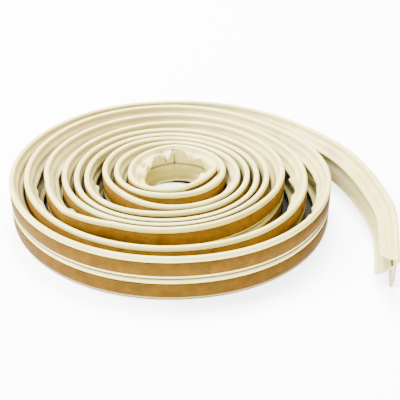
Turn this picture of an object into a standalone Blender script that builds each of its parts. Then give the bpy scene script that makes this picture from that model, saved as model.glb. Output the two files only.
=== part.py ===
"""Rubber door weatherstrip: a joined pair of self-adhesive lip seals, loosely wound with one end free.

Run with: blender --background --python part.py
Metres, +Z up. The coil stands on the strip's lower edge, and its tail runs to the right and forward.
"""
import math

import bmesh
import bpy
from mathutils import Vector
from mathutils.geometry import intersect_point_line

MM = 0.001

# The rubber strip: two seals side by side, one above the other as the coil stands
SEAL_WIDTH = 9.0 * MM           # width of one seal, so the pair is twice as wide
BASE_THICKNESS = 1.1 * MM       # the flat back that carries the adhesive
BEAD_HEIGHT = 2.0 * MM          # plain rounded edge above each liner
BEAD_PROUD = 0.3 * MM           # how far that edge stands out from the back
LIP_THICKNESS = 0.7 * MM        # sealing lip, hinged on the upper edge of each seal
LIP_FOOT_GAP = 1.5 * MM         # from a folded lip's free edge to the lower edge of its seal
LIP_FOLD_GAP = 0.15 * MM        # between a folded lip and the back
SEAM_DEPTH = 0.4 * MM           # groove where the two seals tear apart
SEAM_OPENING = 0.3 * MM         # height of that groove

# The release liners, one paper tape on the back of each seal
LINER_THICKNESS = 0.2 * MM
LINER_CLEARANCE = 0.3 * MM      # between the paper and the rubber
LINER_MARGIN = 1.45 * MM        # bare rubber below each liner
LINER_BEAD_GAP = 0.05 * MM      # between each liner and the bead above it

# How far the lips stand out from the back, as an angle at their hinge
COIL_LIP_ANGLE = math.radians(31)       # the set they have taken inside the coil
INNER_LIP_ANGLE = math.radians(52)      # on the innermost turn, over the hole
TAIL_LIP_ANGLE = math.radians(43)       # at the free end

# How the strip is wound. Places round the coil are 45 degrees apart, clockwise as seen from above:
# right, front right, front, front left, left, back left, back, back right.
TURN_CLEARANCE = 0.3 * MM       # between a pressed lip and the turn inside it
FIRST_TURN = [18.0 * MM, 16.8 * MM, 18.8 * MM, 19.6 * MM, 17.2 * MM, 16.5 * MM, 17.8 * MM, 19.0 * MM]
# How far each later turn has sprung out from the one inside it, at the same eight places
SLACK = [
    [0.6 * MM, 3.0 * MM, 1.1 * MM, 1.5 * MM, 3.0 * MM, 2.3 * MM, 0.9 * MM, 0.6 * MM],
    [2.4 * MM, 5.2 * MM, 5.6 * MM, 1.6 * MM, 2.1 * MM, 2.8 * MM, 1.1 * MM, 1.1 * MM],
    [1.3 * MM, 0.8 * MM, 1.6 * MM, 6.3 * MM, 3.6 * MM, 1.1 * MM, 1.0 * MM, 0.8 * MM],
    [0.9 * MM, 1.7 * MM, 2.2 * MM, 1.1 * MM, 1.5 * MM, 2.0 * MM, 1.6 * MM, 1.8 * MM],
    [1.5 * MM, 0.2 * MM, 0.0 * MM, 0.4 * MM, 2.5 * MM, 2.8 * MM, 4.4 * MM, 5.7 * MM],
    [4.0 * MM, 0.6 * MM, 0.0 * MM, 0.8 * MM, 4.9 * MM, 6.4 * MM, 5.4 * MM, 3.0 * MM],
    [5.4 * MM, 9.4 * MM, 8.5 * MM, 7.2 * MM, 4.8 * MM, 6.0 * MM, 6.0 * MM, 5.5 * MM],
    [6.8 * MM, 5.0 * MM, 3.4 * MM, 3.0 * MM, 3.2 * MM, 2.6 * MM, 2.3 * MM, 5.4 * MM],
]
LAST_TURN_ANGLE = math.radians(300)     # how far the last turn runs before the strip leaves the coil

# The free tail: how far round it has come, and how far it stands off the coil's last radius
TAIL_ROUTE = [
    (math.radians(47.0), 1.6 * MM),
    (math.radians(32.6), 4.0 * MM),
    (math.radians(16.2), 8.9 * MM),
    (math.radians(2.1), 13.9 * MM),
    (math.radians(-12.4), 20.4 * MM),
    (math.radians(-22.4), 25.9 * MM),
    (math.radians(-35.1), 33.1 * MM),
]

STATIONS_PER_TURN = 30
TAIL_STATIONS = 16

STRIP_WIDTH = 2 * SEAL_WIDTH
LIP_LENGTH = SEAL_WIDTH - LIP_THICKNESS - LIP_FOOT_GAP
LINER_WIDTH = SEAL_WIDTH - BEAD_HEIGHT - LINER_MARGIN - LINER_BEAD_GAP
LINER_DEPTH = LINER_CLEARANCE + LINER_THICKNESS
PRESSED_REACH = BASE_THICKNESS + LIP_FOLD_GAP + LIP_THICKNESS
PRESSED_PITCH = LINER_DEPTH + PRESSED_REACH + TURN_CLEARANCE
PLACES_PER_TURN = len(FIRST_TURN)

# Linear colours
CREAM_RUBBER = (0.88, 0.83, 0.68, 1.0)
GOLDEN_PAPER = (0.50, 0.25, 0.04, 1.0)


def make_material(name, colour, roughness):
    material = bpy.data.materials.new(name)
    material.use_nodes = True
    shader = material.node_tree.nodes["Principled BSDF"]
    shader.inputs["Base Color"].default_value = colour
    shader.inputs["Roughness"].default_value = roughness
    shader.inputs["Metallic"].default_value = 0.0
    return material


def smooth_between(values, position):
    """Value at a fractional place in a list, on a smooth curve through its entries."""
    last = len(values) - 1
    index = min(max(math.floor(position), 0), last - 1)
    t = position - index
    start, end = values[index], values[index + 1]
    before = values[max(index - 1, 0)]
    after = values[min(index + 2, last)]
    start_slope = (end - before) / 2
    end_slope = (after - start) / 2
    return ((2 * t**3 - 3 * t**2 + 1) * start + (t**3 - 2 * t**2 + t) * start_slope
            + (3 * t**2 - 2 * t**3) * end + (t**3 - t**2) * end_slope)


def winding_radii():
    """Radius of the strip's back at every place, from the inner end outwards."""
    radii = list(FIRST_TURN)
    for turn in SLACK:
        inside = radii[-PLACES_PER_TURN:]
        radii += [radius + PRESSED_PITCH + gap for radius, gap in zip(inside, turn)]
    return radii


def coil_route():
    """Points of the strip's back round the coil, as seen from above."""
    radii = winding_radii()
    step = 2 * math.pi / STATIONS_PER_TURN
    last = round((len(SLACK) * 2 * math.pi + LAST_TURN_ANGLE) / step)
    points = []
    for index in range(last + 1):
        turned = index * step
        place = turned / (2 * math.pi) * PLACES_PER_TURN
        radius = smooth_between(radii, place)
        points.append(Vector((radius * math.cos(turned), -radius * math.sin(turned))))
    return points


def tail_route(start):
    """Points of the free tail, from the coil's last point to the cut end."""
    route = [start]
    for bearing, stand_off in TAIL_ROUTE:
        radius = start.length + stand_off
        route.append(Vector((radius * math.cos(bearing), radius * math.sin(bearing))))
    xs = [point.x for point in route]
    ys = [point.y for point in route]
    points = []
    for index in range(1, TAIL_STATIONS + 1):
        place = index / TAIL_STATIONS * (len(route) - 1)
        points.append(Vector((smooth_between(xs, place), smooth_between(ys, place))))
    return points


def inward_directions(points):
    """Level directions from the strip's back towards the inside of its bend."""
    directions = []
    for index in range(len(points)):
        before = points[max(index - 1, 0)]
        after = points[min(index + 1, len(points) - 1)]
        along = (after - before).normalized()
        directions.append(Vector((along.y, -along.x)))
    return directions


def room_inside(points, inward):
    """Distance from the strip's back at each point to the back of the turn inside it."""
    rooms = []
    for index, (point, direction) in enumerate(zip(points, inward)):
        room = math.inf
        for other in range(index - STATIONS_PER_TURN // 2):
            start, end = points[other], points[other + 1]
            share = intersect_point_line(point, start, end)[1]
            across = start.lerp(end, min(max(share, 0.0), 1.0)) - point
            if across.dot(direction) > 0:
                room = min(room, across.length)
        rooms.append(room)
    return rooms


def lip_reaches(points, inward, coil_stations):
    """How far the lips stand in from the back at each point, pressed in where the turns are close."""
    reaches = []
    for index, room in enumerate(room_inside(points, inward)):
        along_tail = max(index + 1 - coil_stations, 0) / TAIL_STATIONS
        angle = COIL_LIP_ANGLE + (TAIL_LIP_ANGLE - COIL_LIP_ANGLE) * along_tail
        if index < STATIONS_PER_TURN:
            angle = INNER_LIP_ANGLE
        free_reach = BASE_THICKNESS + LIP_LENGTH * math.sin(angle) + LIP_THICKNESS / 2
        pressed = room - LINER_DEPTH - TURN_CLEARANCE
        reaches.append(max(min(free_reach, pressed), PRESSED_REACH))
    return reaches


def lip_outline(reach, head):
    """Upper face and free edge of one lip, as (depth from the back, height) pairs."""
    hinge_depth = BASE_THICKNESS
    hinge_height = head - LIP_THICKNESS
    spread = (reach - BASE_THICKNESS - LIP_THICKNESS / 2) / LIP_LENGTH
    drop = math.sqrt(1 - spread**2)
    half = LIP_THICKNESS / 2
    shoulder = 0.3 * LIP_LENGTH
    upper = (hinge_depth + spread * shoulder + drop * half, hinge_height - drop * shoulder + spread * half)
    edge_depth = hinge_depth + spread * LIP_LENGTH
    edge_height = hinge_height - drop * LIP_LENGTH
    return [
        upper,
        (edge_depth + drop * half, edge_height + spread * half),
        (edge_depth - drop * half, edge_height - spread * half),
    ]


def rubber_section(reach):
    """The joined pair's outline, as (depth from the back, height) pairs."""
    outline = [
        (0.0, 0.0),
        (0.0, SEAL_WIDTH - BEAD_HEIGHT),
        (-BEAD_PROUD, SEAL_WIDTH - BEAD_HEIGHT / 2),
        (SEAM_DEPTH, SEAL_WIDTH),
        (0.0, SEAL_WIDTH + SEAM_OPENING),
        (0.0, STRIP_WIDTH - BEAD_HEIGHT),
        (-BEAD_PROUD, STRIP_WIDTH - BEAD_HEIGHT / 2),
        (BASE_THICKNESS / 3, STRIP_WIDTH),
    ]
    for foot in (SEAL_WIDTH, 0.0):
        head = foot + SEAL_WIDTH
        outline += lip_outline(reach, head)
        outline.append((BASE_THICKNESS, head - 2 * LIP_THICKNESS))
        outline.append((BASE_THICKNESS, foot))
    return outline


def liner_section(foot):
    """Outline of the liner on the seal whose lower edge is at this height."""
    near = -LINER_CLEARANCE
    far = near - LINER_THICKNESS
    low = foot + LINER_MARGIN
    high = low + LINER_WIDTH
    return [(near, low), (far, low), (far, high), (near, high)]


def place_rings(points, inward, sections):
    """The sections stood up along the route, as rings of points in space."""
    rings = []
    for point, direction, section in zip(points, inward, sections):
        ring = []
        for depth, height in section:
            level = point + direction * depth
            ring.append(level.to_3d() + Vector((0.0, 0.0, height)))
        rings.append(ring)
    return rings


def loft(name, rings, offset, material, collection):
    """A closed solid through the rings, flat at both ends."""
    form = bmesh.new()
    loops = [[form.verts.new(corner - offset) for corner in ring] for ring in rings]
    for loop, following in zip(loops, loops[1:]):
        for index in range(len(loop)):
            after = (index + 1) % len(loop)
            form.faces.new((loop[index], loop[after], following[after], following[index]))
    form.faces.new(loops[0])
    form.faces.new(loops[-1])
    bmesh.ops.recalc_face_normals(form, faces=form.faces[:])
    bmesh.ops.triangulate(form, faces=form.faces[:])
    mesh = bpy.data.meshes.new(name)
    form.to_mesh(mesh)
    form.free()
    mesh.materials.append(material)
    mesh.shade_smooth()
    mesh.set_sharp_from_angle(angle=math.radians(35))
    collection.objects.link(bpy.data.objects.new(name, mesh))


def middle_of(pieces):
    """The point under the middle of everything, seen from above."""
    corners = [corner for rings in pieces for ring in rings for corner in ring]
    xs = [corner.x for corner in corners]
    ys = [corner.y for corner in corners]
    return Vector(((min(xs) + max(xs)) / 2, (min(ys) + max(ys)) / 2, 0.0))


def build():
    for obj in list(bpy.data.objects):
        bpy.data.objects.remove(obj, do_unlink=True)
    collection = bpy.data.collections.new("rubber_door_weatherstrip")
    bpy.context.scene.collection.children.link(collection)

    coil = coil_route()
    points = coil + tail_route(coil[-1])
    inward = inward_directions(points)
    reaches = lip_reaches(points, inward, len(coil))

    strip = place_rings(points, inward, [rubber_section(reach) for reach in reaches])
    lower_liner = place_rings(points, inward, [liner_section(0.0)] * len(points))
    upper_liner = place_rings(points, inward, [liner_section(SEAL_WIDTH)] * len(points))
    middle = middle_of((strip, lower_liner, upper_liner))

    rubber = make_material("cream_rubber", CREAM_RUBBER, 0.55)
    paper = make_material("golden_paper", GOLDEN_PAPER, 0.6)
    loft("rubber_twin_strip", strip, middle, rubber, collection)
    loft("release_liner_lower", lower_liner, middle, paper, collection)
    loft("release_liner_upper", upper_liner, middle, paper, collection)


build()
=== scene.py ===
"""Rubber door weatherstrip: a joined pair of cream lip seals, loosely wound, with golden release paper.

The strip is swept along its winding by a geometry nodes tree, and so are the two papers on its back.
"""
import math

import bmesh
import bpy
import numpy as np
from bpy.props import FloatProperty, FloatVectorProperty, IntProperty, PointerProperty
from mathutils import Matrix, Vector


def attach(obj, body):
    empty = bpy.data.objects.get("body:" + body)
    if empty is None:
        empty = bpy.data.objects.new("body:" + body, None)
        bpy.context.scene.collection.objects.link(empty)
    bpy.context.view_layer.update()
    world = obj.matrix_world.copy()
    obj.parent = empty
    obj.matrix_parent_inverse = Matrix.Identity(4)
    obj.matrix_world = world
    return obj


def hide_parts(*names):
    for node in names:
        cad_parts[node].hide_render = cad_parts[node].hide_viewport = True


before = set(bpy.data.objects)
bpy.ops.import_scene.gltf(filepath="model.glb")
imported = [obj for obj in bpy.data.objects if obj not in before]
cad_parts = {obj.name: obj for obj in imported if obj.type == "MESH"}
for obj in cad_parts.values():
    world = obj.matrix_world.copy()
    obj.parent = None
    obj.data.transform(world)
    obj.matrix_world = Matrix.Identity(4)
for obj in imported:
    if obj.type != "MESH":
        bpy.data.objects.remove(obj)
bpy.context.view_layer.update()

bl_info = {
    "name": "Rubber door weatherstrip",
    "version": (1, 0, 0),
    "blender": (4, 5, 0),
    "location": "3D View > Sidebar > Weatherstrip",
    "description": "Builds a loosely wound twin lip seal with its release papers, and a studio for it",
    "category": "Object",
}

MM = 0.001

# The winding, as in the solids: radii in mm of the strip's back at eight places a turn, clockwise from the
# right. Each later turn lies a pitch further out than the one inside it, plus what it has sprung out by
FIRST_TURN = (18.0, 16.8, 18.8, 19.6, 17.2, 16.5, 17.8, 19.0)
PLACE_ANGLE = 45                # degrees from one place to the next
TURN_PITCH = 2.75
SPRUNG_OUT = (
    (0.6, 3.0, 1.1, 1.5, 3.0, 2.3, 0.9, 0.6),
    (2.4, 5.2, 5.6, 1.6, 2.1, 2.8, 1.1, 1.1),
    (1.3, 0.8, 1.6, 6.3, 3.6, 1.1, 1.0, 0.8),
    (0.9, 1.7, 2.2, 1.1, 1.5, 2.0, 1.6, 1.8),
    (1.5, 0.2, 0.0, 0.4, 2.5, 2.8, 4.4, 5.7),
    (4.0, 0.6, 0.0, 0.8, 4.9, 6.4, 5.4, 3.0),
    (5.4, 9.4, 8.5, 7.2, 4.8, 6.0, 6.0, 5.5),
    (6.8, 5.0, 3.4, 3.0, 3.2, 2.6, 2.3, 5.4),
)
LAST_TURN = 300.0               # degrees of the last turn before the strip leaves the coil
# The free tail: bearing in degrees, and how far it stands off the coil's last radius
TAIL = ((47.0, 1.6), (32.6, 4.0), (16.2, 8.9), (2.1, 13.9), (-12.4, 20.4), (-22.4, 25.9), (-35.1, 33.1))
COIL_MIDDLE = Vector((-9.332, 0.357, 0.0)) * MM

# Sizes of the section and along the strip, in mm
SEAL_WIDTH = 9.0
BASE_THICKNESS = 1.1
LIP_LENGTH = 6.8
HALF_LIP = 0.35                 # half the lip's thickness
LINER_FACE = 0.5                # from the rubber's back to the outside of the paper
LIP_ROOM = 0.15                 # between a pressed lip and the paper that it lies against, except at folds
PAPER_SHORT = 1.2               # how much sooner than the rubber the paper ends
CUT_REACH = 9.0                 # how far back from the free end the slanting cut is felt
SAME_TURN = 45.0                # stations closer than this along the strip belong to one turn
INNER_SPACING = 0.6             # station spacing in the two inner turns, as a share of that elsewhere

# Where the strip is creased: turned angle of the crease, mm that it stands out, and the degrees before and
# after it over which it does
CREASES = ((271.0, 0.8, 3.5, 3.5), (6 * 360 + 139.5, 3.4, 24.0, 28.0))

# Where the upper lip of the tight inner turn has buckled up in arches: turned angle, half width, and
# how much further the lip leans in at its root and at its free edge, all in degrees
ARCHES = (
    (183.0, 15.0, 12.0, 66.0),
    (225.0, 24.0, 14.0, 88.0),
    (276.5, 26.5, 16.0, 103.0),
    (332.0, 28.0, 14.0, 80.0),
)
# Where else the upper lip is folded: the turned angles where the fold starts, where it is full from and to,
# and where it ends, and the same two changes
FOLDS = (
    (356.0, 384.0, 424.0, 446.0, 62.0, -54.0),
    (700.0, 712.0, 726.0, 733.0, 8.0, 20.0),
    (734.0, 744.0, 790.0, 812.0, 30.0, -26.0),
    (3 * 360 + 167.0, 3 * 360 + 171.0, 3 * 360 + 198.0, 3 * 360 + 214.0, -6.0, -30.0),
    (2 * 360 + 160.0, 2 * 360 + 163.0, 2 * 360 + 163.0, 2 * 360 + 167.0, -4.0, -36.0),
    (6 * 360 + 100.0, 6 * 360 + 112.0, 6 * 360 + 136.0, 6 * 360 + 138.5, -8.0, -48.0),
    (6 * 360 + 138.5, 6 * 360 + 141.0, 6 * 360 + 144.0, 6 * 360 + 150.0, 14.0, 24.0),
    (7 * 360 + 158.0, 7 * 360 + 168.0, 7 * 360 + 196.0, 7 * 360 + 208.0, -2.0, -16.0),
    (7 * 360 + 169.0, 7 * 360 + 172.0, 7 * 360 + 172.0, 7 * 360 + 176.0, -2.0, -8.0),
    (7 * 360 + 1.0, 7 * 360 + 4.0, 7 * 360 + 5.0, 7 * 360 + 6.5, 6.0, 30.0),
    (7 * 360 + 6.5, 7 * 360 + 9.0, 7 * 360 + 11.0, 7 * 360 + 18.0, -2.0, -18.0),
    (8 * 360 + 24.0, 8 * 360 + 25.5, 8 * 360 + 26.0, 8 * 360 + 28.5, -2.0, -26.0),
    (8 * 360 + 306.0, 8 * 360 + 326.0, 8 * 360 + 372.0, 8 * 360 + 392.0, 4.0, 14.0),
)

# How free lips hang: degrees in the coil, degrees more in the free tail and in the inner turn, and how much
# of that they curl
HANGING = {"upper": (33, 9, 17, 0.7), "lower": (40, 12, 18, 0.35)}

# Where the colours change over, from and to, in m: along the strip, where the open eye ends and where the
# paper painted lighter ends, and across the scene, where the free tail starts
EYE_ENDS = (0.08, 0.13)
LIGHTER_PAPER_ENDS = (1.70, 1.80)
TAIL_STARTS = (0.050, 0.058)

# The floor, in m: how far from the coil's middle its glowing eye ends, and how far out it glows again;
# between them it is painted dark
EYE_EDGE = (0.0150, 0.0165)
COIL_EDGE = (0.0605, 0.0620)
FLOOR_HALF = 3.0
FLOOR_GLOW = 4.0                # strength of its light

# Name, place in m, side in m, power in W
SOFTBOXES = (
    ("left_softbox", (-0.6, 0.15, 0.7), 0.45, 45.0),
    ("top_softbox", (0.0, 0.42, 0.86), 0.45, 56.0),
    ("front_softbox", (-0.2, -0.9, 0.4), 0.6, 16.0),
)
WORLD_STRENGTH = 0.3

# The camera, as fitted to the photograph
CAMERA_PITCH = 31.0                     # degrees above the level
CAMERA_DISTANCE = 313.4 * MM            # from the point that it looks at
CAMERA_AIM = (11.5 * MM, 9.0 * MM)      # that point: right of the coil's middle, and above the floor
FOCAL_LENGTH = 762.65 / 400             # in picture widths
PICTURE_SHIFT = (-0.0012, -0.0401)


def linear(code):
    """A colour from its sRGB hex code, in linear light."""
    channels = [int(code[at:at + 2], 16) / 255 for at in (0, 2, 4)]
    return [c / 12.92 if c <= 0.04045 else ((c + 0.055) / 1.055) ** 2.4 for c in channels]


class StripSizes(bpy.types.PropertyGroup):
    lip_length: FloatProperty(
        name="Lip length", description="From the hinge of a sealing lip to its free edge",
        default=LIP_LENGTH * MM, min=3 * MM, max=9 * MM, unit="LENGTH")
    hinge_depth: FloatProperty(
        name="Hinge depth", description="How far in from the back a lip hangs",
        default=1.55 * MM, unit="LENGTH")
    hinge_height: FloatProperty(
        name="Hinge height", description="Height of a lip's hinge above the foot of its seal",
        default=8.25 * MM, unit="LENGTH")
    station_spacing: FloatProperty(
        name="Station spacing", description="Length of strip between two sections",
        default=1.42 * MM, min=0.5 * MM, unit="LENGTH")
    wave_height: FloatProperty(
        name="Wave height", description="How unevenly the free edge of a lip stands out",
        default=math.radians(9), unit="ROTATION")
    wave_length: FloatProperty(
        name="Wave length", description="Length of strip from one rise of the free edge to the next",
        default=11.0 * MM, unit="LENGTH")
    seed: IntProperty(name="Seed", description="Start of the random waves", default=7)


class StripColours(bpy.types.PropertyGroup):
    rubber: FloatVectorProperty(
        name="Rubber", description="Cream of the extruded rubber", subtype="COLOR",
        default=linear("DED080"), min=0, max=1)
    rubber_shade: FloatVectorProperty(
        name="Rubber, duller", description="Where the skin of the rubber is duller", subtype="COLOR",
        default=linear("C4B66E"), min=0, max=1)
    # Painted shade: this dark colour is mixed into the rubber in its grooves and hollows, by ambient
    # occlusion
    painted_groove_shade: FloatVectorProperty(
        name="Rubber in grooves", description="Rubber where dust and shade gather", subtype="COLOR",
        default=linear("38321E"), min=0, max=1)
    cut: FloatVectorProperty(
        name="Cut rubber", description="Open cells where the rubber is cut across", subtype="COLOR",
        default=linear("7C724C"), min=0, max=1)
    paper: FloatVectorProperty(
        name="Release paper", description="Golden brown of the release paper", subtype="COLOR",
        default=linear("63450B"), min=0, max=1)
    paper_shade: FloatVectorProperty(
        name="Release paper, darker fibres", description="Darker fibres in the release paper",
        subtype="COLOR", default=linear("463009"), min=0, max=1)
    floor: FloatVectorProperty(
        name="Floor", description="Pale studio floor", subtype="COLOR",
        default=linear("FAFAF9"), min=0, max=1)
    # Painted shade: the floor under the turns takes this dark colour and no glow
    painted_floor_shade: FloatVectorProperty(
        name="Floor under the turns", description="Unlit floor in the gaps between the turns",
        subtype="COLOR", default=linear("15120D"), min=0, max=1)


# ---------------------------------------------------------------- nodes

def add_node(tree, kind, settings=None, inputs=None):
    """Adds a node, sets its properties, and fills its inputs with values or links them to sockets."""
    made = tree.nodes.new(kind)
    for name, value in (settings or {}).items():
        setattr(made, name, value)
    for key, value in (inputs or {}).items():
        if isinstance(value, bpy.types.NodeSocket):
            tree.links.new(value, made.inputs[key])
        else:
            made.inputs[key].default_value = value
    return made


def new_material(name):
    material = bpy.data.materials.new(name)
    material.use_nodes = True
    tree = material.node_tree
    return material, tree, tree.nodes["Principled BSDF"]


def extruded_rubber(colours):
    """Cellular EPDM with its extruded skin: cream, softly matt, with faint die lines along its length."""
    material, tree, shader = new_material("extruded_cream_epdm")
    place = add_node(tree, "ShaderNodeTexCoord").outputs["Object"]
    along = add_node(tree, "ShaderNodeAttribute", {"attribute_name": "rail_along"}).outputs["Fac"]
    around = add_node(tree, "ShaderNodeAttribute", {"attribute_name": "section_around"}).outputs["Fac"]
    # Die lines: 0.35 mm apart round the section, and 60 mm before they fade
    strip_place = add_node(tree, "ShaderNodeCombineXYZ", None, {"X": along, "Y": around})
    line_place = add_node(tree, "ShaderNodeVectorMath", {"operation": "MULTIPLY"}, {
        0: strip_place.outputs[0], 1: (1 / 0.06, 1 / 0.0007, 0.0)})
    die_lines = add_node(tree, "ShaderNodeTexNoise", None, {
        "Vector": line_place.outputs[0], "Scale": 1.0, "Detail": 2.0, "Roughness": 0.5})
    # Cloudy skin: patches of about 12 mm
    clouds = add_node(tree, "ShaderNodeTexNoise", None, {
        "Vector": place, "Scale": 1 / 0.012, "Detail": 3.0, "Roughness": 0.6})
    mix = add_node(tree, "ShaderNodeMath", {"operation": "MULTIPLY"}, {
        0: clouds.outputs["Fac"], 1: die_lines.outputs["Fac"]})
    ramp = add_node(tree, "ShaderNodeMapRange", None, {
        "Value": mix.outputs[0], "From Min": 0.12, "From Max": 0.42, "To Min": 0.0, "To Max": 1.0})
    colour = add_node(tree, "ShaderNodeMix", {"data_type": "RGBA"}, {
        "Factor": ramp.outputs[0], "A": (*colours.rubber_shade, 1), "B": (*colours.rubber, 1)})
    # Painted shade, mixed in where ambient occlusion is low: in the fine grooves, within 1.5 mm, and deep
    # behind the lips, within 10 mm, but 6 mm in the first turn, whose eye is open to the light
    near = add_node(tree, "ShaderNodeAmbientOcclusion", {"samples": 8}, {"Distance": 0.0015})
    painted_groove_shade = add_node(tree, "ShaderNodeMapRange", None, {
        "Value": near.outputs["AO"], "From Min": 0.55, "From Max": 0.97, "To Min": 0.08, "To Max": 1.0})
    reach = add_node(tree, "ShaderNodeMapRange", None, {
        "Value": along, "From Min": EYE_ENDS[0], "From Max": EYE_ENDS[1], "To Min": 0.006, "To Max": 0.010})
    deep = add_node(tree, "ShaderNodeAmbientOcclusion", {"samples": 8}, {"Distance": reach.outputs[0]})
    # The free tail, right of the coil, is open on one side, so its hollow takes a higher limit and gets
    # more painted shade
    across = add_node(tree, "ShaderNodeSeparateXYZ", None, {0: place})
    limit = add_node(tree, "ShaderNodeMapRange", None, {
        "Value": across.outputs["X"], "From Min": TAIL_STARTS[0], "From Max": TAIL_STARTS[1],
        "To Min": 0.5, "To Max": 1.2})
    hollow = add_node(tree, "ShaderNodeMapRange", {"interpolation_type": "SMOOTHSTEP"}, {
        "Value": deep.outputs["AO"], "From Min": 0.08, "From Max": limit.outputs[0],
        "To Min": 0.0, "To Max": 1.0})
    unshaded_share = add_node(tree, "ShaderNodeMath", {"operation": "MULTIPLY"}, {
        0: painted_groove_shade.outputs[0], 1: hollow.outputs[0]})
    # Painted shade: the dark groove colour mixed over the rubber by the two occlusion factors
    painted_shade_colour = add_node(tree, "ShaderNodeMix", {"data_type": "RGBA"}, {
        "Factor": unshaded_share.outputs[0], "A": (*colours.painted_groove_shade, 1), "B": colour.outputs["Result"]})
    tree.links.new(painted_shade_colour.outputs["Result"], shader.inputs["Base Color"])
    # Skin of burst cells, 0.25 mm, drawn a little coarser than it is so that it shows
    cells = add_node(tree, "ShaderNodeTexNoise", None, {
        "Vector": place, "Scale": 1 / 0.0004, "Detail": 2.0, "Roughness": 0.6})
    relief = add_node(tree, "ShaderNodeMath", {"operation": "MULTIPLY_ADD"}, {
        0: die_lines.outputs["Fac"], 1: 0.8, 2: cells.outputs["Fac"]})
    bump = add_node(tree, "ShaderNodeBump", None, {
        "Height": relief.outputs[0], "Strength": 0.35, "Distance": 0.00006})
    tree.links.new(bump.outputs["Normal"], shader.inputs["Normal"])
    rough = add_node(tree, "ShaderNodeMapRange", None, {
        "Value": clouds.outputs["Fac"], "From Min": 0.3, "From Max": 0.7, "To Min": 0.42, "To Max": 0.56})
    tree.links.new(rough.outputs[0], shader.inputs["Roughness"])
    shader.inputs["Specular IOR Level"].default_value = 0.35
    return material


def cut_sponge(colours):
    """The same rubber cut across: open cells of 0.3 mm, drawn as 0.4 mm, with no skin and no shine."""
    material, tree, shader = new_material("cut_cellular_epdm")
    place = add_node(tree, "ShaderNodeTexCoord").outputs["Object"]
    cells = add_node(tree, "ShaderNodeTexVoronoi", None, {"Vector": place, "Scale": 1 / 0.0004})
    colour = add_node(tree, "ShaderNodeMix", {"data_type": "RGBA"}, {
        "Factor": cells.outputs["Distance"], "A": (*colours.cut, 1), "B": (*colours.rubber_shade, 1)})
    tree.links.new(colour.outputs["Result"], shader.inputs["Base Color"])
    bump = add_node(tree, "ShaderNodeBump", None, {
        "Height": cells.outputs["Distance"], "Strength": 0.5, "Distance": 0.0001})
    tree.links.new(bump.outputs["Normal"], shader.inputs["Normal"])
    shader.inputs["Roughness"].default_value = 0.8
    return material


def release_paper(colours):
    """Silicone-coated kraft release paper: golden brown, satin, with short fibres along the tape."""
    material, tree, shader = new_material("siliconised_kraft_paper")
    along = add_node(tree, "ShaderNodeAttribute", {"attribute_name": "rail_along"}).outputs["Fac"]
    around = add_node(tree, "ShaderNodeAttribute", {"attribute_name": "section_around"}).outputs["Fac"]
    # Fibres 2.5 mm long and 0.3 mm apart
    tape_place = add_node(tree, "ShaderNodeCombineXYZ", None, {"X": along, "Y": around})
    fibre_place = add_node(tree, "ShaderNodeVectorMath", {"operation": "MULTIPLY"}, {
        0: tape_place.outputs[0], 1: (1 / 0.0025, 1 / 0.0006, 0.0)})
    fibres = add_node(tree, "ShaderNodeTexNoise", None, {
        "Vector": fibre_place.outputs[0], "Scale": 1.0, "Detail": 3.0, "Roughness": 0.6})
    # Blotches 4 mm across, where the coating took unevenly
    place = add_node(tree, "ShaderNodeTexCoord").outputs["Object"]
    blotches = add_node(tree, "ShaderNodeTexNoise", None, {
        "Vector": place, "Scale": 1 / 0.004, "Detail": 2.0})
    uneven = add_node(tree, "ShaderNodeMath", {"operation": "ADD"}, {
        0: fibres.outputs["Fac"], 1: blotches.outputs["Fac"]})
    ramp = add_node(tree, "ShaderNodeMapRange", None, {
        "Value": uneven.outputs[0], "From Min": 0.6, "From Max": 1.4, "To Min": 0.0, "To Max": 1.0})
    colour = add_node(tree, "ShaderNodeMix", {"data_type": "RGBA"}, {
        "Factor": ramp.outputs[0], "A": (*colours.paper_shade, 1), "B": (*colours.paper, 1)})
    # Painted light and shade: the paper of the inner turns is painted lighter, and that of the last turn
    # darker, than the paper's own colour
    painted_light_factor = add_node(tree, "ShaderNodeMapRange", None, {
        "Value": along, "From Min": LIGHTER_PAPER_ENDS[0], "From Max": LIGHTER_PAPER_ENDS[1],
        "To Min": 1.35, "To Max": 0.88})
    paper_with_painted_light = add_node(tree, "ShaderNodeHueSaturation", None, {
        "Value": painted_light_factor.outputs[0], "Color": colour.outputs["Result"]})
    tree.links.new(paper_with_painted_light.outputs["Color"], shader.inputs["Base Color"])
    bump = add_node(tree, "ShaderNodeBump", None, {
        "Height": fibres.outputs["Fac"], "Strength": 0.3, "Distance": 0.00005})
    tree.links.new(bump.outputs["Normal"], shader.inputs["Normal"])
    shader.inputs["Roughness"].default_value = 0.7
    shader.inputs["Specular IOR Level"].default_value = 0.04
    return material


# ---------------------------------------------------------------- winding

def smooth_between(values, position):
    """Value at a fractional place in a list, on a smooth curve through its entries."""
    last = len(values) - 1
    index = min(max(math.floor(position), 0), last - 1)
    t = position - index
    start, end = values[index], values[index + 1]
    start_slope = (end - values[max(index - 1, 0)]) / 2
    end_slope = (values[min(index + 2, last)] - start) / 2
    return ((2 * t**3 - 3 * t**2 + 1) * start + (t**3 - 2 * t**2 + t) * start_slope
            + (3 * t**2 - 2 * t**3) * end + (t**3 - t**2) * end_slope)


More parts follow.
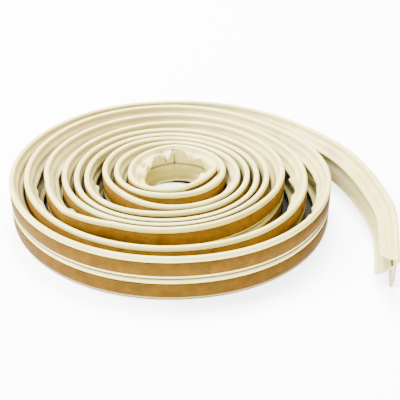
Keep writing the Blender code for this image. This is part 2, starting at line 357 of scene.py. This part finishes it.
def winding():
    """The strip's back as seen from above, in mm, and how far round each point is in degrees."""
    radii = list(FIRST_TURN)
    for sprung in SPRUNG_OUT:
        radii += [radius + TURN_PITCH + gap for radius, gap in zip(radii[-len(sprung):], sprung)]
    turned = np.arange(0, len(SPRUNG_OUT) * 360 + LAST_TURN + 0.25, 0.5)
    points, angles = [], []
    for angle in turned:
        radius = smooth_between(radii, angle / PLACE_ANGLE)
        points.append((radius * math.cos(math.radians(angle)), -radius * math.sin(math.radians(angle))))
        angles.append(angle)
    start = points[-1]
    leaving = math.hypot(*start)
    route = [start] + [((leaving + off) * math.cos(math.radians(bearing)),
                        (leaving + off) * math.sin(math.radians(bearing))) for bearing, off in TAIL]
    steps = 240
    for index in range(1, steps + 1):
        place = index / steps * (len(route) - 1)
        points.append(tuple(smooth_between(line, place) for line in zip(*route)))
        angles.append(turned[-1] + 0.01 + index / steps * 90)
    return np.array(points), np.array(angles)


def spaced_stations(points, angles, spacing):
    """Stations along the winding, closer together in the two inner turns, smoothed over 6 mm."""
    steps = np.hypot(*np.diff(points, axis=0).T)
    along = np.concatenate(([0.0], np.cumsum(steps)))
    even = np.arange(0, along[-1], 0.25)
    x, y = np.interp(even, along, points[:, 0]), np.interp(even, along, points[:, 1])
    reach = 12
    kernel = np.hanning(2 * reach + 1)
    kernel /= kernel.sum()
    for line in (x, y):
        before, beyond = 2 * line[0] - line[reach:0:-1], 2 * line[-1] - line[-2:-reach - 2:-1]
        padded = np.concatenate((before, line, beyond))
        line[:] = np.convolve(padded, kernel, mode="valid")
    even_angles = np.interp(even, along, angles)
    for turned, out, before, after in CREASES:
        bend = np.interp(even_angles, (turned - before, turned, turned + after), (0, out, 0))
        away = np.hypot(x, y)
        x, y = x * (1 + bend / away), y * (1 + bend / away)
    inner = np.interp(2 * 360, angles, along)
    marks = [0.0]
    while marks[-1] < even[-1] - spacing:
        marks.append(marks[-1] + spacing * (INNER_SPACING if marks[-1] < inner else 1.0))
    marks[-1] = even[-1]
    marks = np.array(marks)
    back = np.stack((np.interp(marks, even, x), np.interp(marks, even, y)), axis=1)
    return back, marks, np.interp(marks, along, angles)


def directions(back):
    """Unit directions along the strip and in from its back, as seen from above."""
    forward = np.gradient(back, axis=0)
    forward /= np.hypot(forward[:, 0], forward[:, 1])[:, None]
    return forward, np.stack((forward[:, 1], -forward[:, 0]), axis=1)


def room_inside(back, inward, marks):
    """How far it is from each station to the turn inside it."""
    rooms = np.full(len(back), 99.0)
    for index in range(len(back)):
        near = np.searchsorted(marks, marks[index] - SAME_TURN)
        if near < 2:
            continue
        start, end = back[:near - 1], back[1:near]
        line = end - start
        share = np.clip(((back[index] - start) * line).sum(1) / (line**2).sum(1), 0, 1)
        across = start + line * share[:, None] - back[index]
        ahead = across @ inward[index] > 0
        if ahead.any():
            rooms[index] = np.hypot(*across[ahead].T).min()
    return rooms


def lip_angles(sizes, back, inward, marks, angles):
    """Angles of both lips at their roots and free edges, in radians, and how free they are to wave."""
    room = room_inside(back, inward, marks)
    tail = np.clip((angles - (len(SPRUNG_OUT) * 360 + LAST_TURN)) / 90, 0, 1)
    inner = 1 - np.clip((angles - 330) / 60, 0, 1)
    hinge = sizes.hinge_depth / MM
    length = sizes.lip_length / MM
    pressed = (room - LINER_FACE - LIP_ROOM - HALF_LIP - hinge) / (length * 0.96)
    kernel = np.hanning(9)
    values = {}
    for name, (in_coil, in_tail, in_eye, curl) in HANGING.items():
        free = in_coil + in_tail * tail + in_eye * inner
        mean = np.minimum(np.radians(free), np.arcsin(np.clip(pressed, 0.0, 1.0)))
        mean = np.convolve(np.pad(mean, 4, mode="edge"), kernel / kernel.sum(), mode="valid")
        root, edge = mean * (1 - curl), mean * (1 + curl)
        if name == "upper":
            values["freedom"] = np.clip((pressed - np.sin(mean)) / 0.25, 0, 1)
            for centre, half_width, root_change, edge_change in ARCHES:
                swell = 1 - np.clip(np.abs(angles - centre) / half_width, 0, 1) ** 3
                root, edge = root + np.radians(root_change) * swell, edge + np.radians(edge_change) * swell
            for fold in FOLDS:
                swell = np.interp(angles, fold[:4], (0, 1, 1, 0))
                swell = swell * swell * (3 - 2 * swell)
                root, edge = root + np.radians(fold[4]) * swell, edge + np.radians(fold[5]) * swell
        values["root_" + name], values["tip_" + name] = root, np.maximum(edge, -root)
    return values


# ---------------------------------------------------------------- sections

# Upper side of a lip: place from hinge to free edge, and height above its middle in mm
LIP_TOP = ((0.10, 0.22), (0.22, 0.22), (0.35, 0.48), (0.46, 0.60), (0.58, 0.36), (0.70, 0.12),
           (0.82, 0.34), (0.93, 0.48), (0.99, 0.30))
LIP_UNDER = ((1.01, -0.05), (0.98, -0.28), (0.60, -0.33), (0.22, -0.33))


def rubber_section():
    """The twin strip's outline: (depth, height, place on a lip or -1, height above the lip, which seal)."""
    def wall(pairs, seal=0):
        return [(depth, height, -1.0, 0.0, seal) for depth, height in pairs]

    def lip(seal):
        return [(0.0, 0.0, share, rise, seal) for share, rise in LIP_TOP + LIP_UNDER]

    width = SEAL_WIDTH
    outline = wall([(0.25, 0.0), (0.0, 0.3), (0.0, 7.0), (-0.12, 7.35), (-0.3, 8.0), (-0.28, 8.5),
                    (-0.05, 8.86), (0.42, 9.02)])
    outline += wall([(0.1, 9.34), (0.0, 9.6), (0.0, width + 6.9), (-0.16, width + 7.15),
                     (-0.28, width + 7.8), (-0.2, width + 8.45), (0.08, width + 8.85), (0.6, 2 * width),
                     (1.15, width + 8.92), (1.6, width + 8.66), (1.84, width + 8.3)])
    outline += lip(1)
    outline += wall([(BASE_THICKNESS, width + 7.3), (BASE_THICKNESS, 9.95), (0.82, 9.5), (0.86, 9.16),
                     (1.36, 8.93), (1.66, 8.68), (1.84, 8.3)])
    outline += lip(0)
    outline += wall([(BASE_THICKNESS, 7.3), (BASE_THICKNESS, 0.25), (0.85, 0.0)])
    return outline


def liner_section(foot):
    """Outline of the paper tape on the seal whose lower edge is at this height."""
    low, high = foot + 1.45, foot + 6.95
    near, far = -0.04, -0.32
    return [(depth, height, -1.0, 0.0, 0) for depth, height in
            ((near, low), (far + 0.08, low), (far, low + 0.1), (far, (low + high) / 2), (far, high - 0.1),
             (far + 0.08, high), (near, high))]


def end_trim(height, on_lip, seal):
    """How far a point of the outline reaches past a square cut at the tail's end, in mm: a slanting cut."""
    if on_lip >= 0:
        return 7.5 - 8.5 * on_lip if seal else -0.8 * on_lip
    slant = min(max((height - 10.0) / 7.5, 0.0), 1.0)
    return 8.0 * slant * slant * (3 - 2 * slant)


# ---------------------------------------------------------------- sweeping

SIZE_INPUTS = ("Lip length", "Hinge depth", "Hinge height", "Wave height", "Wave length", "Seed")


def sweep_tree():
    """Geometry nodes: sweeps the outline along the stations and folds the lips."""
    tree = bpy.data.node_groups.new("Sweep seal", "GeometryNodeTree")
    face = tree.interface
    face.new_socket(name="Geometry", in_out="INPUT", socket_type="NodeSocketGeometry")
    for name in SIZE_INPUTS:
        face.new_socket(name=name, in_out="INPUT", socket_type="NodeSocketFloat")
    face.new_socket(name="Material", in_out="INPUT", socket_type="NodeSocketMaterial")
    face.new_socket(name="Geometry", in_out="OUTPUT", socket_type="NodeSocketGeometry")
    given = add_node(tree, "NodeGroupInput").outputs
    result = add_node(tree, "NodeGroupOutput")

    values = {name: given[name] for name in SIZE_INPUTS}
    for kind, prefix, names in (
            ("FLOAT", "section_", ("depth", "height", "share", "rise", "seal", "foot", "cut")),
            ("FLOAT", "rail_", ("trim", "along", "freedom",
                                "root_upper", "root_lower", "tip_upper", "tip_lower")),
            ("FLOAT_VECTOR", "rail_", ("route", "inward", "forward"))):
        for name in names:
            values[name] = add_node(tree, "GeometryNodeInputNamedAttribute", {"data_type": kind},
                                    {"Name": prefix + name}).outputs[0]

    def work(steps):
        """Adds a math node for each step: its result, operation and terms, which are names or numbers."""
        for result_name, operation, *terms in steps:
            inputs = {at: values[term] if isinstance(term, str) else term for at, term in enumerate(terms)}
            made = add_node(tree, "ShaderNodeMath", {"operation": operation}, inputs)
            values[result_name] = made.outputs[0]

    work((
        ("wave place", "DIVIDE", "along", "Wave length"),
        ("seal shift", "MULTIPLY_ADD", "seal", 57.3, "Seed"),
        ("wave place", "ADD", "wave place", "seal shift"),
    ))
    wave = add_node(tree, "ShaderNodeTexNoise", {"noise_dimensions": "1D"}, {
        "W": values["wave place"], "Scale": 1.0, "Detail": 2.0, "Roughness": 0.5})
    values["wave"] = wave.outputs["Fac"]
    work((
        ("wave", "SUBTRACT", "wave", 0.5),
        ("wave", "MULTIPLY", "wave", "Wave height"),
        ("wave", "MULTIPLY", "wave", "freedom"),
        ("root change", "SUBTRACT", "root_upper", "root_lower"),
        ("root", "MULTIPLY_ADD", "root change", "seal", "root_lower"),
        ("tip change", "SUBTRACT", "tip_upper", "tip_lower"),
        ("tip", "MULTIPLY_ADD", "tip change", "seal", "tip_lower"),
        ("tip", "MULTIPLY_ADD", "wave", 4.0, "tip"),
        ("curl", "SUBTRACT", "tip", "root"),
        ("curl", "MULTIPLY", "curl", "share"),
        ("half curl", "MULTIPLY", "curl", 0.5),
        ("chord angle", "ADD", "root", "half curl"),
        ("edge angle", "ADD", "root", "curl"),
        ("half curl squared", "MULTIPLY", "half curl", "half curl"),
        ("shortening", "MULTIPLY_ADD", "half curl squared", -1 / 6, 1.0),
        ("run", "MULTIPLY", "Lip length", "share"),
        ("run", "MULTIPLY", "run", "shortening"),
        ("chord sine", "SINE", "chord angle"),
        ("chord cosine", "COSINE", "chord angle"),
        ("edge sine", "SINE", "edge angle"),
        ("edge cosine", "COSINE", "edge angle"),
        ("lip depth", "MULTIPLY_ADD", "run", "chord sine", "Hinge depth"),
        ("lip depth", "MULTIPLY_ADD", "rise", "edge cosine", "lip depth"),
        ("lip height", "MULTIPLY", "run", "chord cosine"),
        ("lip height", "SUBTRACT", "Hinge height", "lip height"),
        ("lip height", "MULTIPLY_ADD", "rise", "edge sine", "lip height"),
        ("lip height", "ADD", "lip height", "foot"),
        ("on lip", "GREATER_THAN", "share", -0.5),
        ("depth change", "SUBTRACT", "lip depth", "depth"),
        ("depth", "MULTIPLY_ADD", "depth change", "on lip", "depth"),
        ("height change", "SUBTRACT", "lip height", "height"),
        ("height", "MULTIPLY_ADD", "height change", "on lip", "height"),
        ("shift", "MULTIPLY", "trim", "cut"),
    ))
    inwards = add_node(tree, "ShaderNodeVectorMath", {"operation": "SCALE"}, {
        0: values["inward"], "Scale": values["depth"]}).outputs[0]
    forwards = add_node(tree, "ShaderNodeVectorMath", {"operation": "SCALE"}, {
        0: values["forward"], "Scale": values["shift"]}).outputs[0]
    upwards = add_node(tree, "ShaderNodeCombineXYZ", None, {"Z": values["height"]}).outputs[0]
    place = values["route"]
    for part in (inwards, forwards, upwards):
        place = add_node(tree, "ShaderNodeVectorMath", {"operation": "ADD"}, {0: place, 1: part}).outputs[0]

    is_section = add_node(tree, "GeometryNodeInputNamedAttribute", {"data_type": "BOOLEAN"},
                          {"Name": "is_section"}).outputs[0]
    parted = add_node(tree, "GeometryNodeSeparateGeometry", {"domain": "POINT"}, {
        "Geometry": given["Geometry"], "Selection": is_section})
    curves = []
    for half, other in (("Inverted", "section_*"), ("Selection", "rail_*")):
        bare = add_node(tree, "GeometryNodeRemoveAttribute", {"pattern_mode": "WILDCARD"}, {
            "Geometry": parted.outputs[half], "Name": other})
        curves.append(add_node(tree, "GeometryNodeMeshToCurve", None, {"Mesh": bare.outputs[0]}).outputs[0])
    swept = add_node(tree, "GeometryNodeCurveToMesh", None, {
        "Curve": curves[0], "Profile Curve": curves[1], "Fill Caps": True})
    placed = add_node(tree, "GeometryNodeSetPosition", None, {
        "Geometry": swept.outputs[0], "Position": place})
    smooth = add_node(tree, "GeometryNodeSetShadeSmooth", None, {"Geometry": placed.outputs[0]})
    real = add_node(tree, "GeometryNodeRealizeInstances", None, {"Geometry": smooth.outputs[0]})
    dressed = add_node(tree, "GeometryNodeSetMaterial", None, {
        "Geometry": real.outputs[0], "Material": given["Material"]})
    tree.links.new(dressed.outputs[0], result.inputs["Geometry"])
    return tree


def set_attribute(mesh, name, values, kind="FLOAT"):
    layer = mesh.attributes.new(name, kind, "POINT")
    field = "vector" if kind == "FLOAT_VECTOR" else "value"
    stored = bool if kind == "BOOLEAN" else np.float32
    layer.data.foreach_set(field, np.asarray(values, dtype=stored).ravel())


def sweep(name, outline, sizes, materials, tree, short=0.0):
    """A plain mesh: the outline swept along the winding, with its cut ends in the last material."""
    back, marks, angles = spaced_stations(*winding(), sizes.station_spacing / MM)
    forward, inward = directions(back)
    folds = lip_angles(sizes, back, inward, marks, angles)
    stations, corners = len(back), len(outline)
    level = np.zeros((stations, 1))
    route = np.hstack((back, level)) * MM + np.array(COIL_MIDDLE)
    outline = np.array(outline)
    cut = [end_trim(row[1], row[2], row[4]) - short for row in outline]
    around = np.concatenate(([0.0], np.cumsum(np.hypot(*np.diff(outline[:, :2], axis=0).T))))
    on_lips = outline[:, 2] * LIP_LENGTH + outline[:, 3] + 20 * outline[:, 4]
    around = np.where(outline[:, 2] >= 0, on_lips, around)

    mesh = bpy.data.meshes.new(name)
    mesh.vertices.add(stations + corners)
    where = np.vstack((route, np.stack((outline[:, 0], outline[:, 1], np.zeros(corners)), axis=1) * MM))
    mesh.vertices.foreach_set("co", where.ravel())
    links = [(index, index + 1) for index in range(stations - 1)]
    links += [(stations + index, stations + (index + 1) % corners) for index in range(corners)]
    mesh.edges.add(len(links))
    mesh.edges.foreach_set("vertices", np.array(links).ravel())
    set_attribute(mesh, "is_section", np.arange(stations + corners) >= stations, "BOOLEAN")
    for key, values in (("route", route), ("inward", np.hstack((inward, level))),
                        ("forward", np.hstack((forward, level)))):
        set_attribute(mesh, "rail_" + key, np.vstack((values, np.zeros((corners, 3)))), "FLOAT_VECTOR")
    trim = np.clip(1 - (marks[-1] - marks) / CUT_REACH, 0, 1) ** 1.5
    for key, values in (("along", marks * MM), ("trim", trim), *folds.items()):
        set_attribute(mesh, "rail_" + key, np.concatenate((values, np.zeros(corners))))
    for key, values in (("depth", outline[:, 0] * MM), ("height", outline[:, 1] * MM),
                        ("share", outline[:, 2]), ("rise", outline[:, 3] * MM), ("seal", outline[:, 4]),
                        ("foot", outline[:, 4] * SEAL_WIDTH * MM), ("cut", np.array(cut) * MM),
                        ("around", around * MM)):
        set_attribute(mesh, "section_" + key, np.concatenate((np.zeros(stations), values)))
    mesh.update()

    source = bpy.data.objects.new(name + "_source", mesh)
    bpy.context.scene.collection.objects.link(source)
    modifier = source.modifiers.new("Sweep", "NODES")
    modifier.node_group = tree
    wanted = {size: float(getattr(sizes, size.lower().replace(" ", "_"))) for size in SIZE_INPUTS}
    wanted["Material"] = materials[0]
    for item in tree.interface.items_tree:
        if item.in_out == "INPUT" and item.name in wanted:
            modifier[item.identifier] = wanted[item.name]
    evaluated = source.evaluated_get(bpy.context.evaluated_depsgraph_get())
    swept = bpy.data.meshes.new_from_object(evaluated)
    bpy.data.objects.remove(source)
    if len(swept.polygons) < stations:
        raise RuntimeError(name + ": the sweep gave no surface")
    swept.name = name

    form = bmesh.new()
    form.from_mesh(swept)
    if form.calc_volume(signed=True) < 0:
        bmesh.ops.reverse_faces(form, faces=form.faces[:])
    form.to_mesh(swept)
    form.free()
    swept.materials.clear()
    for material in materials:
        swept.materials.append(material)
    for polygon in swept.polygons:
        if polygon.loop_total > 4:
            polygon.material_index = len(materials) - 1
            polygon.use_smooth = False
    for key in list(swept.attributes.keys()):
        if key.startswith(("rail_", "section_", "is_")) and key not in ("rail_along", "section_around"):
            swept.attributes.remove(swept.attributes[key])
    swept.set_sharp_from_angle(angle=math.radians(50))
    piece = bpy.data.objects.new(name, swept)
    bpy.context.scene.collection.objects.link(piece)
    return piece


# ---------------------------------------------------------------- operators

class WEATHERSTRIP_OT_rubber_strip(bpy.types.Operator):
    """Sweep the twin rubber strip along its winding"""
    bl_idname = "weatherstrip.rubber_strip"
    bl_label = "Rubber strip"

    def execute(self, context):
        colours = context.scene.weatherstrip_colours
        sizes = context.scene.weatherstrip_sizes
        materials = (extruded_rubber(colours), cut_sponge(colours))
        piece = sweep("twin_lip_seal", rubber_section(), sizes, materials, sweep_tree())
        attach(piece, "root")
        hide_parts("rubber_twin_strip")
        return {"FINISHED"}


class WEATHERSTRIP_OT_release_papers(bpy.types.Operator):
    """Lay the golden release papers on the strip's back"""
    bl_idname = "weatherstrip.release_papers"
    bl_label = "Release papers"

    def execute(self, context):
        paper = release_paper(context.scene.weatherstrip_colours)
        sizes = context.scene.weatherstrip_sizes
        tree = sweep_tree()
        for name, foot, node in (("release_paper_lower", 0.0, "release_liner_lower"),
                                 ("release_paper_upper", SEAL_WIDTH, "release_liner_upper")):
            piece = sweep(name, liner_section(foot), sizes, (paper,), tree, PAPER_SHORT)
            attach(piece, "root")
            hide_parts(node)
        return {"FINISHED"}


class WEATHERSTRIP_OT_stage(bpy.types.Operator):
    """Lay a pale floor, hang soft lights and set up the camera"""
    bl_idname = "weatherstrip.stage"
    bl_label = "Studio"

    def execute(self, context):
        scene = context.scene
        colours = scene.weatherstrip_colours
        mesh = bpy.data.meshes.new("studio_floor")
        corners = [(x * FLOOR_HALF, y * FLOOR_HALF, 0) for x, y in ((-1, -1), (1, -1), (1, 1), (-1, 1))]
        mesh.from_pydata(corners, [], [(0, 1, 2, 3)])
        # Painted light and shade: the floor glows white, like a light table, outside the coil and in its
        # eye, which takes the shadow away there; the ring under the turns is painted dark and does not
        # glow, so the narrow gaps between them are dark
        material, tree, shader = new_material("white_floor_painted_light_and_shade")
        shader.inputs["Roughness"].default_value = 0.9
        place = add_node(tree, "ShaderNodeTexCoord").outputs["Object"]
        away = add_node(tree, "ShaderNodeVectorMath", {"operation": "DISTANCE"}, {
            0: place, 1: tuple(COIL_MIDDLE)}).outputs["Value"]
        in_eye = add_node(tree, "ShaderNodeMapRange", None, {
            "Value": away, "From Min": EYE_EDGE[0], "From Max": EYE_EDGE[1],
            "To Min": 1.0, "To Max": 0.0})
        outside = add_node(tree, "ShaderNodeMapRange", None, {
            "Value": away, "From Min": COIL_EDGE[0], "From Max": COIL_EDGE[1],
            "To Min": 0.0, "To Max": 1.0})
        painted_light_mask = add_node(tree, "ShaderNodeMath", {"operation": "MAXIMUM"}, {
            0: in_eye.outputs[0], 1: outside.outputs[0]}).outputs[0]
        glow = add_node(tree, "ShaderNodeMath", {"operation": "MULTIPLY"}, {0: painted_light_mask, 1: FLOOR_GLOW})
        white = add_node(tree, "ShaderNodeMix", {"data_type": "RGBA"}, {
            "Factor": painted_light_mask, "A": (*colours.painted_floor_shade, 1), "B": (*colours.floor, 1)})
        tree.links.new(white.outputs["Result"], shader.inputs["Base Color"])
        shader.inputs["Emission Color"].default_value = (1, 1, 1, 1)
        tree.links.new(glow.outputs[0], shader.inputs["Emission Strength"])
        mesh.materials.append(material)
        floor = bpy.data.objects.new("studio_floor", mesh)
        scene.collection.objects.link(floor)

        for name, place, size, power in SOFTBOXES:
            light = bpy.data.lights.new(name, "AREA")
            light.size = size
            light.energy = power
            lamp = bpy.data.objects.new(name, light)
            lamp.location = place
            lamp.rotation_euler = (-Vector(place)).to_track_quat("-Z", "Y").to_euler()
            scene.collection.objects.link(lamp)
        world = bpy.data.worlds.new("studio_white")
        world.use_nodes = True
        sky = world.node_tree.nodes["Background"]
        sky.inputs["Color"].default_value = (1, 1, 1, 1)
        sky.inputs["Strength"].default_value = WORLD_STRENGTH
        scene.world = world

        pitch = math.radians(CAMERA_PITCH)
        aside, height = CAMERA_AIM
        data = bpy.data.cameras.new("photo_camera")
        data.sensor_width = 36.0
        data.lens = FOCAL_LENGTH * data.sensor_width
        data.shift_x, data.shift_y = PICTURE_SHIFT
        data.clip_start = 0.01
        camera = bpy.data.objects.new("photo_camera", data)
        camera.location = COIL_MIDDLE + Vector((aside, -CAMERA_DISTANCE * math.cos(pitch),
                                                height + CAMERA_DISTANCE * math.sin(pitch)))
        camera.rotation_euler = (math.pi / 2 - pitch, 0, 0)
        scene.collection.objects.link(camera)
        scene.camera = camera
        return {"FINISHED"}


class WEATHERSTRIP_PT_panel(bpy.types.Panel):
    bl_label = "Weatherstrip"
    bl_idname = "WEATHERSTRIP_PT_panel"
    bl_space_type = "VIEW_3D"
    bl_region_type = "UI"
    bl_category = "Weatherstrip"

    def draw(self, context):
        for group in (context.scene.weatherstrip_sizes, context.scene.weatherstrip_colours):
            for name in group.bl_rna.properties.keys():
                if name not in ("rna_type", "name"):
                    self.layout.prop(group, name)
        for operator in OPERATORS:
            self.layout.operator(operator.bl_idname)


OPERATORS = (WEATHERSTRIP_OT_rubber_strip, WEATHERSTRIP_OT_release_papers, WEATHERSTRIP_OT_stage)
CLASSES = (StripSizes, StripColours, *OPERATORS, WEATHERSTRIP_PT_panel)


def register():
    for cls in CLASSES:
        bpy.utils.register_class(cls)
    bpy.types.Scene.weatherstrip_sizes = PointerProperty(type=StripSizes)
    bpy.types.Scene.weatherstrip_colours = PointerProperty(type=StripColours)


def unregister():
    del bpy.types.Scene.weatherstrip_colours
    del bpy.types.Scene.weatherstrip_sizes
    for cls in reversed(CLASSES):
        bpy.utils.unregister_class(cls)


def main():
    register()
    bpy.ops.weatherstrip.rubber_strip()
    bpy.ops.weatherstrip.release_papers()
    bpy.ops.weatherstrip.stage()


if __name__ == "__main__":
    main()
